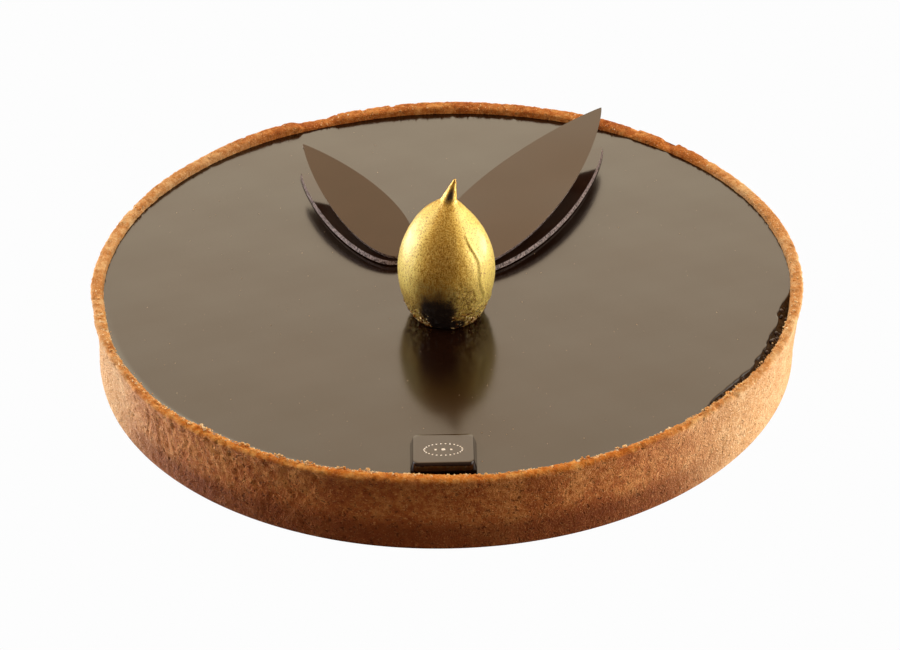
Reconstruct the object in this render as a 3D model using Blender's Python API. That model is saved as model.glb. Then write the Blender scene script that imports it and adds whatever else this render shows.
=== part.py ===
"""A 220 mm chocolate tart: a shortcrust case poured full of dark ganache, decorated with a gilded
chocolate drop, two pairs of chocolate leaves and a small chocolate plaque.

Units are metres and +Z is up. The origin is the middle of the case's flat underside, the plaque lies
towards -Y and the leaves point away towards +Y. Every sub-part is one object, and pieces that touch
keep a small gap, so that each stays a solid of its own.
"""

import math

import bmesh
import bpy
from mathutils import Matrix, Vector

GAP = 0.0003

# The shortcrust case, baked in a straight-sided 220 mm ring.
RIM_RADIUS = 0.1100
WALL_RADIUS = 0.1083
CASE_HEIGHT = 0.0250
RIM_WIDTH = 0.0038
FLOOR_THICKNESS = 0.0040
CASE_SEGMENTS = 128

# The ganache, poured to just under the rim.
GANACHE_TOP = 0.0230
GANACHE_ROUNDING = 0.0014

# The rim's hand-made unevenness: (waves round the rim, amplitude in metres, phase in degrees).
OUTLINE_WAVES = [(1, 0.00030, 90), (2, 0.00020, 40), (5, 0.00016, 130), (9, 0.00012, 15)]
HEIGHT_WAVES = [(5, 0.00010, 200), (8, 0.00010, 75), (13, 0.00010, 300)]
# Where the rim stands higher or is chipped away: (azimuth, half-width, rise), in degrees and metres.
RIM_BUMPS = [
    (90.0, 40.0, 0.0004),
    (50.0, 26.0, -0.0005),
    (121.0, 11.0, 0.0003),
    (46.5, 2.6, -0.0010),
    (113.5, 4.8, -0.0012),
]
# Where the hand-pressed outline swells or draws in, in the same terms.
OUTLINE_BUMPS = [
    (138.0, 34.0, 0.0006),
    (42.0, 36.0, 0.0005),
    (200.0, 20.0, -0.0009),
    (282.0, 66.0, -0.0007),
]

# The drop: a moulded ovoid with a drawn-out tip, set a little in front of the middle.
DROP_PLACE = (0.0005, -0.0194)
DROP_HEIGHT = 0.0460
DROP_RADIUS = 0.0147
DROP_BASE_RADIUS = 0.0102
DROP_WAIST_HEIGHT = 0.0151
DROP_SHOULDER_HEIGHT = 0.0396
DROP_SHOULDER_POWERS = (1.9, 0.72)
DROP_TIP_ROOT_RADIUS = 0.0035
DROP_TIP_END_RADIUS = 0.0004
DROP_TIP_LENGTH = 0.0102
DROP_TIP_BLEND = 4.4
DROP_LEAN = 0.0031
DROP_LEAN_START = 0.0348
DROP_SEGMENTS = 40
DROP_RINGS = 28

# The leaves: flat plates whose half-widths follow u^0.48 (1 - u)^0.89 from the base to the tip.
LEAF_THICKNESS = 0.0013
LEAF_BASE_POWER = 0.48
LEAF_TIP_POWER = 0.89
LEAF_STEPS = 18
SMALL_LEAF = {"far": 0.0116, "near": 0.0080}
LARGE_LEAF = {"far": 0.0149, "near": 0.0159}
# Top face at the base end and at the tip: x, y, and the height above the ganache.
LEAVES = {
    "leaf_left_lower": (SMALL_LEAF, (-0.0139, 0.0080, 0.00165), (-0.0465, 0.0638, 0.00165)),
    "leaf_left_upper": (SMALL_LEAF, (-0.0139, 0.0084, 0.00325), (-0.0455, 0.0632, 0.0129)),
    "leaf_right_lower": (LARGE_LEAF, (-0.0019, 0.0011, 0.00165), (0.0530, 0.0770, 0.00165)),
    "leaf_right_upper": (LARGE_LEAF, (-0.0007, 0.0010, 0.00325), (0.0530, 0.0824, 0.0137)),
}

# The plaque: a bevelled tablet lying just inside the rim, its front edge a little proud.
PLAQUE_PLACE = (-0.0013, -0.0956)
PLAQUE_BASE = (0.0188, 0.0164)
PLAQUE_TOP = (0.0171, 0.0144)
PLAQUE_THICKNESS = 0.0027
PLAQUE_TILT = math.radians(1.5)
PLAQUE_EDGE = 0.0006


def clear_scene():
    """Empty the scene, so that only the tart is left in it."""
    for old in list(bpy.data.objects):
        bpy.data.objects.remove(old)


def finish(name, rgb, roughness, metallic=0.0):
    """A Principled material of one colour."""
    material = bpy.data.materials.new(name)
    material.use_nodes = True
    shader = material.node_tree.nodes["Principled BSDF"]
    shader.inputs["Base Color"].default_value = (*rgb, 1.0)
    shader.inputs["Roughness"].default_value = roughness
    shader.inputs["Metallic"].default_value = metallic
    return material


def add_object(name, mesh_data, material):
    """Put a finished bmesh into the scene as a smooth-shaded object."""
    bmesh.ops.recalc_face_normals(mesh_data, faces=mesh_data.faces)
    mesh = bpy.data.meshes.new(name)
    mesh_data.to_mesh(mesh)
    mesh_data.free()
    mesh.shade_smooth()
    mesh.set_sharp_from_angle(angle=math.radians(35))
    mesh.materials.append(material)
    obj = bpy.data.objects.new(name, mesh)
    bpy.context.scene.collection.objects.link(obj)
    return obj


def spin_section(section, segments):
    """Turn a section, given as (radius, height) points, once round the Z axis into a closed solid."""
    mesh_data = bmesh.new()
    points = [mesh_data.verts.new((radius, 0.0, height)) for radius, height in section]
    edges = [mesh_data.edges.new(pair) for pair in zip(points, points[1:])]
    bmesh.ops.spin(
        mesh_data,
        geom=points + edges,
        cent=(0.0, 0.0, 0.0),
        axis=(0.0, 0.0, 1.0),
        angle=2.0 * math.pi,
        steps=segments,
        use_merge=True,
    )
    bmesh.ops.remove_doubles(mesh_data, verts=mesh_data.verts, dist=1e-6)
    return mesh_data


def smooth_step(x):
    """A rise from 0 to 1 that starts and ends level."""
    x = min(max(x, 0.0), 1.0)
    return x * x * (3.0 - 2.0 * x)


def wave_sum(waves, azimuth):
    return sum(size * math.sin(count * azimuth + math.radians(phase)) for count, size, phase in waves)


def bump_sum(bumps, azimuth):
    """The bumps' rise at an azimuth: each is full near its middle and fades out at its half-width."""
    rise = 0.0
    for middle, half_width, highest in bumps:
        away = abs((math.degrees(azimuth) - middle + 180.0) % 360.0 - 180.0)
        rise += highest * smooth_step((half_width - away) / (0.55 * half_width))
    return rise


def make_uneven(mesh_data):
    """Move the wall in and out and the rim up and down, more the higher the point lies."""
    for vertex in mesh_data.verts:
        radius = math.hypot(vertex.co.x, vertex.co.y)
        if radius < 0.5 * WALL_RADIUS:
            continue
        azimuth = math.atan2(vertex.co.y, vertex.co.x)
        height = vertex.co.z / CASE_HEIGHT
        outward = wave_sum(OUTLINE_WAVES, azimuth) + bump_sum(OUTLINE_BUMPS, azimuth)
        radius += outward * smooth_step(1.4 * height)
        vertex.co.x = radius * math.cos(azimuth)
        vertex.co.y = radius * math.sin(azimuth)
        rim_share = smooth_step((height - 0.94) / 0.05)
        vertex.co.z += rim_share * (wave_sum(HEIGHT_WAVES, azimuth) + bump_sum(RIM_BUMPS, azimuth))


def case_section():
    """The case's section, from the middle of its floor up the inner wall, over the rim and down."""
    inner = RIM_RADIUS - RIM_WIDTH
    top = CASE_HEIGHT
    floor = FLOOR_THICKNESS
    return [
        (0.0, floor),
        (inner - 0.0040, floor),
        (inner - 0.0018, floor + 0.0005),
        (inner - 0.0008, floor + 0.0022),
        (inner - 0.0004, 0.6 * top),
        (inner - 0.0001, top - 0.0018),
        (inner + 0.0004, top - 0.0005),
        (inner + 0.0011, top),
        (RIM_RADIUS - 0.0012, top),
        (RIM_RADIUS - 0.0003, top - 0.0004),
        (RIM_RADIUS, top - 0.0010),
        (RIM_RADIUS - 0.0006, top - 0.0040),
        (WALL_RADIUS + 0.0006, 0.68 * top),
        (WALL_RADIUS, 0.28 * top),
        (WALL_RADIUS, 0.0007),
        (WALL_RADIUS - 0.0006, 0.0),
        (0.0, 0.0),
    ]


def ganache_section():
    """The ganache's section: it follows the case's inside at a gap, with a rounded upper edge."""
    edge = RIM_RADIUS - RIM_WIDTH - 0.0004 - GAP
    floor = FLOOR_THICKNESS + GAP
    top = GANACHE_TOP
    return [
        (0.0, top),
        (edge - 2.0 * GANACHE_ROUNDING, top),
        (edge - 0.8 * GANACHE_ROUNDING, top - 0.12 * GANACHE_ROUNDING),
        (edge - 0.2 * GANACHE_ROUNDING, top - 0.45 * GANACHE_ROUNDING),
        (edge, top - GANACHE_ROUNDING),
        (edge - 0.0001, 0.6 * CASE_HEIGHT),
        (edge - 0.0005, floor + 0.0022),
        (edge - 0.0016, floor + 0.0006),
        (edge - 0.0037, floor),
        (0.0, floor),
    ]


def drop_radius(height):
    """The drop's radius at a height: an ovoid, which a tapering tip takes over from near its top."""
    if height < DROP_WAIST_HEIGHT:
        below = (DROP_WAIST_HEIGHT - height) / DROP_WAIST_HEIGHT
        narrowing = 1.0 - (DROP_BASE_RADIUS / DROP_RADIUS) ** 2
        return DROP_RADIUS * math.sqrt(1.0 - narrowing * below * below)
    above = (height - DROP_WAIST_HEIGHT) / (DROP_SHOULDER_HEIGHT - DROP_WAIST_HEIGHT)
    inner_power, outer_power = DROP_SHOULDER_POWERS
    body = DROP_RADIUS * max(1.0 - above**inner_power, 0.0) ** outer_power
    along_tip = max((height - DROP_HEIGHT + DROP_TIP_LENGTH) / DROP_TIP_LENGTH, 0.0)
    tip = DROP_TIP_ROOT_RADIUS + (DROP_TIP_END_RADIUS - DROP_TIP_ROOT_RADIUS) * along_tip
    return (body**DROP_TIP_BLEND + tip**DROP_TIP_BLEND) ** (1.0 / DROP_TIP_BLEND)


def drop_section():
    """The drop's section, from its tip down to the middle of its base."""
    section = [(0.0, DROP_HEIGHT)]
    for ring in range(DROP_RINGS + 1):
        height = DROP_HEIGHT * (1.0 - ring / DROP_RINGS)
        section.append((drop_radius(height), height))
    return section + [(0.0, 0.0)]


def make_case(material):
    mesh_data = spin_section(case_section(), CASE_SEGMENTS)
    make_uneven(mesh_data)
    add_object("crust", mesh_data, material)


def make_ganache(material):
    mesh_data = spin_section(ganache_section(), CASE_SEGMENTS)
    make_uneven(mesh_data)
    add_object("ganache", mesh_data, material)


def make_drop(material):
    """Turn the drop, and lean its upper part to one side."""
    mesh_data = spin_section(drop_section(), DROP_SEGMENTS)
    for vertex in mesh_data.verts:
        share = max(vertex.co.z - DROP_LEAN_START, 0.0) / (DROP_HEIGHT - DROP_LEAN_START)
        vertex.co.x += DROP_LEAN * share
    drop = add_object("gold_drop", mesh_data, material)
    drop.location = (*DROP_PLACE, GANACHE_TOP + GAP)


def leaf_outline(length, far, near):
    """Points round a leaf that lies along +X, its tip at x = length and its far side at +Y."""
    peak = LEAF_BASE_POWER / (LEAF_BASE_POWER + LEAF_TIP_POWER)
    fullest = peak**LEAF_BASE_POWER * (1.0 - peak) ** LEAF_TIP_POWER
    steps = [0.5 - 0.5 * math.cos(math.pi * k / LEAF_STEPS) for k in range(1, LEAF_STEPS)]
    widths = [u**LEAF_BASE_POWER * (1.0 - u) ** LEAF_TIP_POWER / fullest for u in steps]
    there = [(u * length, -near * w) for u, w in zip(steps, widths)]
    back = [(u * length, far * w) for u, w in zip(steps, widths)]
    return [(0.0, 0.0)] + there + [(length, 0.0)] + back[::-1]


def make_leaf(name, widths, base, tip, material):
    """Extrude a leaf's outline down by its thickness, and lay it from its base point to its tip."""
    start = Vector(base) + Vector((0.0, 0.0, GANACHE_TOP))
    end = Vector(tip) + Vector((0.0, 0.0, GANACHE_TOP))
    along = (end - start).normalized()
    across = Vector((0.0, 0.0, 1.0)).cross(along).normalized()
    upward = along.cross(across)
    # Across points away from the plaque on a leaf that runs to the right, and towards it on the other.
    side_a, side_b = widths["far"], widths["near"]
    if across.y < 0.0:
        side_a, side_b = side_b, side_a
    mesh_data = bmesh.new()
    outline = leaf_outline((end - start).length, side_a, side_b)
    top = mesh_data.faces.new([mesh_data.verts.new((x, y, 0.0)) for x, y in outline])
    extruded = bmesh.ops.extrude_face_region(mesh_data, geom=[top], use_keep_orig=True)
    lower = [item for item in extruded["geom"] if isinstance(item, bmesh.types.BMVert)]
    bmesh.ops.translate(mesh_data, verts=lower, vec=(0.0, 0.0, -LEAF_THICKNESS))
    leaf = add_object(name, mesh_data, material)
    turn = Matrix((along, across, upward)).transposed()
    leaf.rotation_euler = turn.to_euler()
    leaf.location = start


def make_plaque(material):
    """Taper a cube towards its top, bevel it, and rest it with its front edge a little raised."""
    mesh_data = bmesh.new()
    bmesh.ops.create_cube(mesh_data, size=2.0)
    for vertex in mesh_data.verts:
        half_x, half_y = (0.5 * size for size in (PLAQUE_TOP if vertex.co.z > 0.0 else PLAQUE_BASE))
        vertex.co.x *= half_x
        vertex.co.y *= half_y
        vertex.co.z = PLAQUE_THICKNESS if vertex.co.z > 0.0 else 0.0
    upper = [edge for edge in mesh_data.edges if max(v.co.z for v in edge.verts) > 0.0]
    bmesh.ops.bevel(
        mesh_data,
        geom=upper,
        offset=PLAQUE_EDGE,
        offset_type="OFFSET",
        segments=2,
        profile=0.5,
        affect="EDGES",
        clamp_overlap=True,
    )
    plaque = add_object("plaque", mesh_data, material)
    plaque.rotation_euler = (-PLAQUE_TILT, 0.0, 0.0)
    raised = 0.5 * PLAQUE_BASE[1] * math.sin(PLAQUE_TILT)
    plaque.location = (*PLAQUE_PLACE, GANACHE_TOP + GAP + raised)


def build_tart():
    clear_scene()
    crust = finish("baked_shortcrust", (0.52, 0.22, 0.07), 0.75)
    ganache = finish("ganache_glaze", (0.030, 0.014, 0.007), 0.15)
    leaf = finish("tempered_chocolate", (0.085, 0.040, 0.022), 0.35)
    plaque = finish("moulded_chocolate", (0.055, 0.026, 0.015), 0.20)
    gold = finish("gold_powder", (0.75, 0.50, 0.12), 0.40, metallic=1.0)
    make_case(crust)
    make_ganache(ganache)
    make_drop(gold)
    for name, (widths, base, tip) in LEAVES.items():
        make_leaf(name, widths, base, tip, leaf)
    make_plaque(plaque)


build_tart()
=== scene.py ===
"""A 220 mm chocolate tart: shortcrust case, poured ganache, a gilded chocolate drop, two pairs of
chocolate leaves and a small chocolate plaque, on a pale studio floor. Metres, +Z up."""
import itertools
import math

import bmesh
import bpy
import numpy as np
from mathutils import Matrix, Vector


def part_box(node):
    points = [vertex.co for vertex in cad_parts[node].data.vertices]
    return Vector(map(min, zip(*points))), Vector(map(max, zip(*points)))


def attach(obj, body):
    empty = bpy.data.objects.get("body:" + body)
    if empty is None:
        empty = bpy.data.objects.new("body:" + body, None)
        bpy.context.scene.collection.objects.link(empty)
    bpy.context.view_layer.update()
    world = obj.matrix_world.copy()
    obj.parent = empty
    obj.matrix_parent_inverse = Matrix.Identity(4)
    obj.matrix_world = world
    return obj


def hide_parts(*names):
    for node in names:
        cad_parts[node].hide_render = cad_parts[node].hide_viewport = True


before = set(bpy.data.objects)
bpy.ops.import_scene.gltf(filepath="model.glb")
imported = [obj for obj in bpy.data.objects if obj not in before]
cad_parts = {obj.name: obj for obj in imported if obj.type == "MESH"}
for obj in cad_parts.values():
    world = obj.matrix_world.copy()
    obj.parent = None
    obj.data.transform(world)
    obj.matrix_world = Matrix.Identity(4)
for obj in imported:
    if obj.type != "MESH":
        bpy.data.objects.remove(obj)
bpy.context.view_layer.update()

# The shortcrust case. Butter, sugar and flour rubbed to sand, lined by thumb into a steel ring and
# baked dark: a dry, sandy wall with pores and pale sugar grains, and a rim trimmed with a knife, so
# it is chipped and browner. One turned surface, moved along its own normal by the crumb's grain.
MM = 0.001
RIM_RADIUS = 110.0 * MM
WALL_RADIUS = 108.3 * MM
CASE_HEIGHT = 25.0 * MM
RIM_WIDTH = 3.8 * MM
INNER_RADIUS = RIM_RADIUS - RIM_WIDTH
FLOOR_THICKNESS = 4.0 * MM
CASE_COLUMNS = 1150
CASE_STEP = 0.55 * MM
HIDDEN_STEP = 12 * MM
GANACHE_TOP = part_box("ganache")[1].z
# The hand-made unevenness of the outline and of the height: waves round the rim, size, phase in degrees.
OUTLINE_WAVES = [(1, 0.30 * MM, 90), (2, 0.20 * MM, 40), (5, 0.16 * MM, 130), (9, 0.12 * MM, 15)]
HEIGHT_WAVES = [(5, 0.10 * MM, 200), (8, 0.10 * MM, 75), (13, 0.10 * MM, 300)]
# Swells and knife nicks in the rim: azimuth and half-width in degrees, and rise.
RIM_BUMPS = [
    (90.0, 40.0, 0.4 * MM),
    (50.0, 26.0, -0.5 * MM),
    (121.0, 11.0, 0.3 * MM),
    (46.5, 2.0, -1.3 * MM),
    (54.0, 1.2, -0.5 * MM),
    (113.5, 4.6, -1.3 * MM),
    (309.0, 1.0, -0.6 * MM),
    (312.5, 0.8, -0.5 * MM),
]
# Where the hand-pressed outline swells or draws in, and where the rim's inner edge is trimmed back or
# left thick, in the same terms.
OUTLINE_BUMPS = [
    (138.0, 34.0, 0.6 * MM),
    (42.0, 36.0, 0.5 * MM),
    (200.0, 20.0, -0.9 * MM),
    (282.0, 66.0, -0.7 * MM),
]
THIN_RIM = [(228.0, 44.0, 0.9 * MM), (305.0, 50.0, 0.9 * MM), (86.0, 62.0, -1.0 * MM)]
# Creases that the thumb left in the wall: azimuth, lowest and highest point, sideways lean, depth.
WALL_CREASES = [
    (216.5, 9 * MM, 22 * MM, 2.0, 0.40 * MM),
    (219.5, 6 * MM, 16 * MM, -1.2, 0.35 * MM),
    (226.0, 12 * MM, 19 * MM, 1.0, 0.30 * MM),
    (236.0, 10 * MM, 20 * MM, -0.8, 0.25 * MM),
    (318.0, 5 * MM, 13 * MM, 0.8, 0.15 * MM),
]


def smoothstep(x, low, high):
    """A rise from 0 at low to 1 at high, level at both ends: 3 t squared less 2 t cubed, where t is the
    share of the way, clipped to between 0 and 1."""
    t = np.clip((x - low) / (high - low), 0.0, 1.0)
    return t * t * (3.0 - 2.0 * t)


def grain_field(points, grain, seed):
    """A smooth random field between -1 and 1: a random value at each corner of a cubic lattice whose cells
    are one grain wide, blended across the cell by smoothstep weights."""
    table = np.random.default_rng(seed).uniform(-1.0, 1.0, (32, 32, 32))
    scaled = points / grain
    cell = np.floor(scaled).astype(int)
    share = smoothstep(scaled - cell, 0.0, 1.0)
    field = np.zeros(points.shape[:-1])
    for corner in itertools.product((0, 1), repeat=3):
        index = (cell + corner) % 32
        weight = np.where(corner, share, 1.0 - share).prod(axis=-1)
        field += weight * table[index[..., 0], index[..., 1], index[..., 2]]
    return field


def smooth_line(corners, step):
    """A Catmull-Rom curve through the corners, one cubic for each span, cut about every step."""
    line = np.asarray(corners, float)
    line = np.vstack([2 * line[0] - line[1], line, 2 * line[-1] - line[-2]])
    spans = []
    for p0, p1, p2, p3 in zip(line, line[1:], line[2:], line[3:]):
        count = max(1, round(np.linalg.norm(p2 - p1) / step))
        t = (np.arange(count) / count)[:, None]
        curve = 2 * p1 + (p2 - p0) * t + (2 * p0 - 5 * p1 + 4 * p2 - p3) * t**2
        spans.append(0.5 * (curve + (3 * p1 - p0 - 3 * p2 + p3) * t**3))
    return np.vstack(spans + [line[-2:-1]])


def joined(runs):
    """One section from several lines, each of which starts where the one before it ends."""
    return np.vstack([run[:-1] for run in runs[:-1]] + [runs[-1]])


def wave_sum(waves, azimuth):
    """The sum of sine waves round the rim, each with its count, size and phase."""
    return sum(size * np.sin(count * azimuth + math.radians(phase)) for count, size, phase in waves)


def bump_sum(bumps, azimuth):
    """The sum of flat-topped bumps round the rim, each full near its middle and gone at its half-width."""
    rise = np.zeros_like(azimuth)
    for middle, half_width, highest in bumps:
        away = np.abs((np.degrees(azimuth) - middle + 180.0) % 360.0 - 180.0)
        rise += highest * smoothstep(half_width - away, 0.0, 0.55 * half_width)
    return rise


def turned(section, columns):
    """Points of a section (radius, height) carried round the Z axis, the outward normal at each, which is
    the section's tangent turned a quarter turn, and its azimuth."""
    azimuth = 2.0 * math.pi * np.arange(columns) / columns
    tangent = np.gradient(section, axis=0)
    tangent /= np.linalg.norm(tangent, axis=1, keepdims=True)
    around = np.stack([np.cos(azimuth), np.sin(azimuth)], -1)
    radius, height = section[:, :1, None], section[:, 1:, None]
    points = np.concatenate([radius * around, np.broadcast_to(height, (len(section), columns, 1))], -1)
    normal_out, normal_up = tangent[:, 1:, None], -tangent[:, :1, None]
    normals = np.concatenate(
        [normal_out * around, np.broadcast_to(normal_up, (len(section), columns, 1))], -1
    )
    return points, normals, np.broadcast_to(azimuth, points.shape[:2])


def warp_like_rim(points, azimuth):
    """Moves points in and out and up and down as the rim is uneven, more the higher they lie, and moves
    the inner side out where the rim is thin."""
    height = points[..., 2] / CASE_HEIGHT
    radius = np.linalg.norm(points[..., :2], axis=-1)
    outer = smoothstep(radius, 0.55 * WALL_RADIUS, 0.9 * WALL_RADIUS)
    inner = outer * (1 - smoothstep(radius, INNER_RADIUS + 0.6 * MM, RIM_RADIUS - 0.8 * MM))
    swell = wave_sum(OUTLINE_WAVES, azimuth) + bump_sum(OUTLINE_BUMPS, azimuth)
    outward = outer * smoothstep(1.4 * height, 0, 1) * swell
    outward += inner * smoothstep(height, 0.6, 0.85) * bump_sum(THIN_RIM, azimuth)
    stretch = 1.0 + outward / np.maximum(radius, 0.1 * WALL_RADIUS)
    warped = points * np.stack([stretch, stretch, np.ones_like(stretch)], -1)
    at_rim = outer * smoothstep(height, 0.94, 0.99)
    warped[..., 2] += at_rim * (wave_sum(HEIGHT_WAVES, azimuth) + bump_sum(RIM_BUMPS, azimuth))
    return warped


def closed_piece(name, points, **attributes):
    """A closed piece from a grid of points (row, column, xyz): the columns run round and meet, and the
    first and last rows are each a single point. Its faces are turned outwards by the sign of its volume."""
    rows, columns = points.shape[:2]
    verts = np.vstack([points[1:-1].reshape(-1, 3), points[0, :1], points[-1, :1]])
    index = np.arange((rows - 2) * columns).reshape(rows - 2, columns)
    right = np.roll(index, -1, axis=1)
    quads = np.stack([index[:-1], right[:-1], right[1:], index[1:]], -1).reshape(-1, 4)
    first = np.stack([np.full(columns, len(verts) - 2), right[0], index[0]], -1)
    last = np.stack([np.full(columns, len(verts) - 1), index[-1], right[-1]], -1)
    fan = np.vstack([first, last])
    triangles = np.vstack([fan, quads[:, [0, 1, 2]], quads[:, [0, 2, 3]]])
    if np.linalg.det(verts[triangles]).sum() < 0:
        quads, fan = quads[:, ::-1], fan[:, ::-1]
    mesh = bpy.data.meshes.new(name)
    mesh.from_pydata(verts.tolist(), [], quads.tolist() + fan.tolist())
    mesh.shade_smooth()
    for label, value in attributes.items():
        flat = np.concatenate([value[1:-1].ravel(), value[0, :1], value[-1, :1]])
        mesh.attributes.new(label, "FLOAT", "POINT").data.foreach_set("value", flat.astype(np.float32))
    piece = bpy.data.objects.new(name, mesh)
    bpy.context.scene.collection.objects.link(piece)
    return piece


def srgb(code):
    """A colour written as sRGB hex, in the linear values that a shader takes."""
    value = np.array([int(code[k : k + 2], 16) for k in (1, 3, 5)]) / 255.0
    linear = np.where(value <= 0.04045, value / 12.92, ((value + 0.055) / 1.055) ** 2.4)
    return (*linear.tolist(), 1.0)


def add(tree, kind, values=None, links=None, stops=None):
    """Adds a node. A value's key is a setting of the node or the name or number of an input; a link's key
    is an input; stops are a colour ramp's (place, hex) pairs."""
    node = tree.nodes.new("ShaderNode" + kind)
    for key, value in (values or {}).items():
        if isinstance(key, str) and hasattr(node, key):
            setattr(node, key, value)
        else:
            node.inputs[key].default_value = value
    for key, socket in (links or {}).items():
        tree.links.new(socket, node.inputs[key])
    if stops:
        elements = node.color_ramp.elements
        while len(elements) < len(stops):
            elements.new(0.5)
        for element, (place, code) in zip(elements, stops):
            element.position = place
            element.color = srgb(code)
    return node


def new_material(name):
    """A new node material: (material, its node tree, its Principled shader, its object coordinates)."""
    material = bpy.data.materials.new(name)
    material.use_nodes = True
    tree = material.node_tree
    shader = tree.nodes["Principled BSDF"]
    place = add(tree, "TexCoord").outputs["Object"]
    return material, tree, shader, place


# The case's section, as corners (radius, height): out along the base, up the wall and over the rim, and
# back down inside and over the floor, where the ganache hides it.
base_run = [(0.0, 0.0), (0.5 * WALL_RADIUS, 0.0), (WALL_RADIUS - 0.9 * MM, 0.0)]
wall_run = [
    (WALL_RADIUS - 0.9 * MM, 0.0),
    (WALL_RADIUS - 0.2 * MM, 0.35 * MM),
    (WALL_RADIUS, 1.2 * MM),
    (WALL_RADIUS, 7 * MM),
    (WALL_RADIUS + 0.2 * MM, 12 * MM),
    (WALL_RADIUS + 0.6 * MM, 17 * MM),
    (RIM_RADIUS - 0.65 * MM, 21.0 * MM),
    (RIM_RADIUS - 0.12 * MM, 23.4 * MM),
    (RIM_RADIUS - 0.06 * MM, 24.2 * MM),
    (RIM_RADIUS - 0.55 * MM, 24.85 * MM),
    (RIM_RADIUS - 1.2 * MM, CASE_HEIGHT),
    (INNER_RADIUS + 1.0 * MM, 24.95 * MM),
    (INNER_RADIUS + 0.3 * MM, 24.6 * MM),
    (INNER_RADIUS, 23.7 * MM),
    (INNER_RADIUS - 0.3 * MM, 21.0 * MM),
    (INNER_RADIUS - 0.4 * MM, 18.5 * MM),
]
floor_run = [
    (INNER_RADIUS - 0.4 * MM, 18.5 * MM),
    (INNER_RADIUS - 0.8 * MM, 6.0 * MM),
    (INNER_RADIUS - 4.0 * MM, FLOOR_THICKNESS),
    (0.5 * INNER_RADIUS, FLOOR_THICKNESS),
    (0.0, FLOOR_THICKNESS),
]
case_runs = [
    smooth_line(base_run, HIDDEN_STEP),
    smooth_line(wall_run, CASE_STEP),
    smooth_line(floor_run, HIDDEN_STEP),
]
case_points, case_normals, case_azimuth = turned(joined(case_runs), CASE_COLUMNS)
case_height = case_points[..., 2]
case_radius = np.linalg.norm(case_points[..., :2], axis=-1)
trimmed = smoothstep(case_height, 22.8 * MM, 24.7 * MM)
# The grain shows on the wall and the rim, and fades out at the base and where the ganache hides it.
grainy = smoothstep(case_height, 0.2 * MM, 2.0 * MM)
grainy = grainy * smoothstep(case_radius, INNER_RADIUS - 0.7 * MM, INNER_RADIUS)
# The dough wrinkled at the left of the front, where it was pressed twice, and is smoother elsewhere.
wrinkled = smoothstep(np.cos(case_azimuth - math.radians(222)), 0.80, 0.96)
relief = 0.20 * MM * grain_field(case_points, 15 * MM, 1)
for grain, even, wrinkle, seed in [(4.1, 0.06, 0.08, 2), (1.9, 0.05, 0.15, 7), (1.0, 0.09, 0.05, 3)]:
    relief += (even + wrinkle * wrinkled) * MM * grain_field(case_points, grain * MM, seed)
# Pores in the wall, and the sandy grain and torn-out pits of the trimmed rim.
relief -= (0.20 + 0.15 * wrinkled) * MM * smoothstep(grain_field(case_points, 1.3 * MM, 4), 0.50, 0.85)
relief += trimmed * 0.16 * MM * grain_field(case_points, 0.9 * MM, 5)
relief -= trimmed * 0.50 * MM * smoothstep(grain_field(case_points, 1.9 * MM, 6), 0.40, 0.80)
# Each crease is a groove with a Gaussian section and a lower ridge pushed up beside it.
for middle, low, high, lean, depth in WALL_CREASES:
    along = np.clip((case_height - low) / (high - low), 0.0, 1.0)
    centre = math.radians(middle) + np.radians(lean) * (along - 0.5) + 0.004 * np.sin(9.0 * along + middle)
    away = (case_azimuth - centre) * WALL_RADIUS / (0.55 * MM)
    ends = smoothstep(case_height, low, low + 2 * MM) * (1 - smoothstep(case_height, high - 2 * MM, high))
    relief -= ends * depth * (np.exp(-(away**2)) - 0.5 * np.exp(-((away - 2.2) ** 2)))
case_points = warp_like_rim(case_points, case_azimuth)
case_points = case_points + case_normals * (relief * grainy)[..., None]
# The wall is painted darker and redder at the front and the back than at the sides: partly toasting,
# partly painted shade where the front and back face away from the side lights. The rim is browner still,
# from a ragged line near its top outside and all the way down inside, and less so at the back.
toasted = smoothstep(np.abs(np.cos(case_azimuth - math.radians(262))), 0.46, 0.84)
ragged_height = case_height + 0.7 * MM * grain_field(case_points, 2.2 * MM, 8)
browned_outside = smoothstep(ragged_height, 23.4 * MM, 25.0 * MM)
browned_inside = smoothstep(case_height, 18 * MM, 20 * MM)
inside = np.linalg.norm(case_points[..., :2], axis=-1) < INNER_RADIUS + 0.6 * MM
browning = np.where(inside, browned_inside, browned_outside)
browning *= 1.0 - 0.6 * smoothstep(np.sin(case_azimuth), 0.4, 0.9)
crust = closed_piece("shortcrust_case", case_points, browning=browning * grainy, toasted=toasted)


def blend_tones(tree, share, first, second):
    """The colour at a share of the way from one to another, each of them a socket or a hex colour."""
    values = {"data_type": "RGBA"}
    links = {0: share}
    for number, tone in ((6, first), (7, second)):
        if isinstance(tone, str):
            values[number] = srgb(tone)
        else:
            links[number] = tone
    return add(tree, "Mix", values, links).outputs[2]


# Baked shortcrust: matt and sandy, golden brown, with paler sugar and flour grains, dark pores, a rim that
# caught more heat, and painted shade: a foot darker towards the floor, partly browned against the tray,
# and a front and back painted darker than the sides. The grains are about 0.6 mm.
material, tree, shader, place = new_material("baked_shortcrust")
tone = add(tree, "TexNoise", {"Scale": 1 / (14 * MM), "Detail": 3.0}, {"Vector": place})
mottle = {"Scale": 1 / (1.8 * MM), "Detail": 4.0, "Roughness": 0.7}
mottle = add(tree, "TexNoise", mottle, {"Vector": place})
grains = {"Scale": 1 / (0.6 * MM), "Detail": 2.0, "Roughness": 0.7}
grains = add(tree, "TexNoise", grains, {"Vector": place})
pores = add(tree, "TexNoise", {"Scale": 1 / (0.9 * MM), "Detail": 1.0}, {"Vector": place})
browning = add(tree, "Attribute", {"attribute_name": "browning"})
toasted = add(tree, "Attribute", {"attribute_name": "toasted"})
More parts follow.
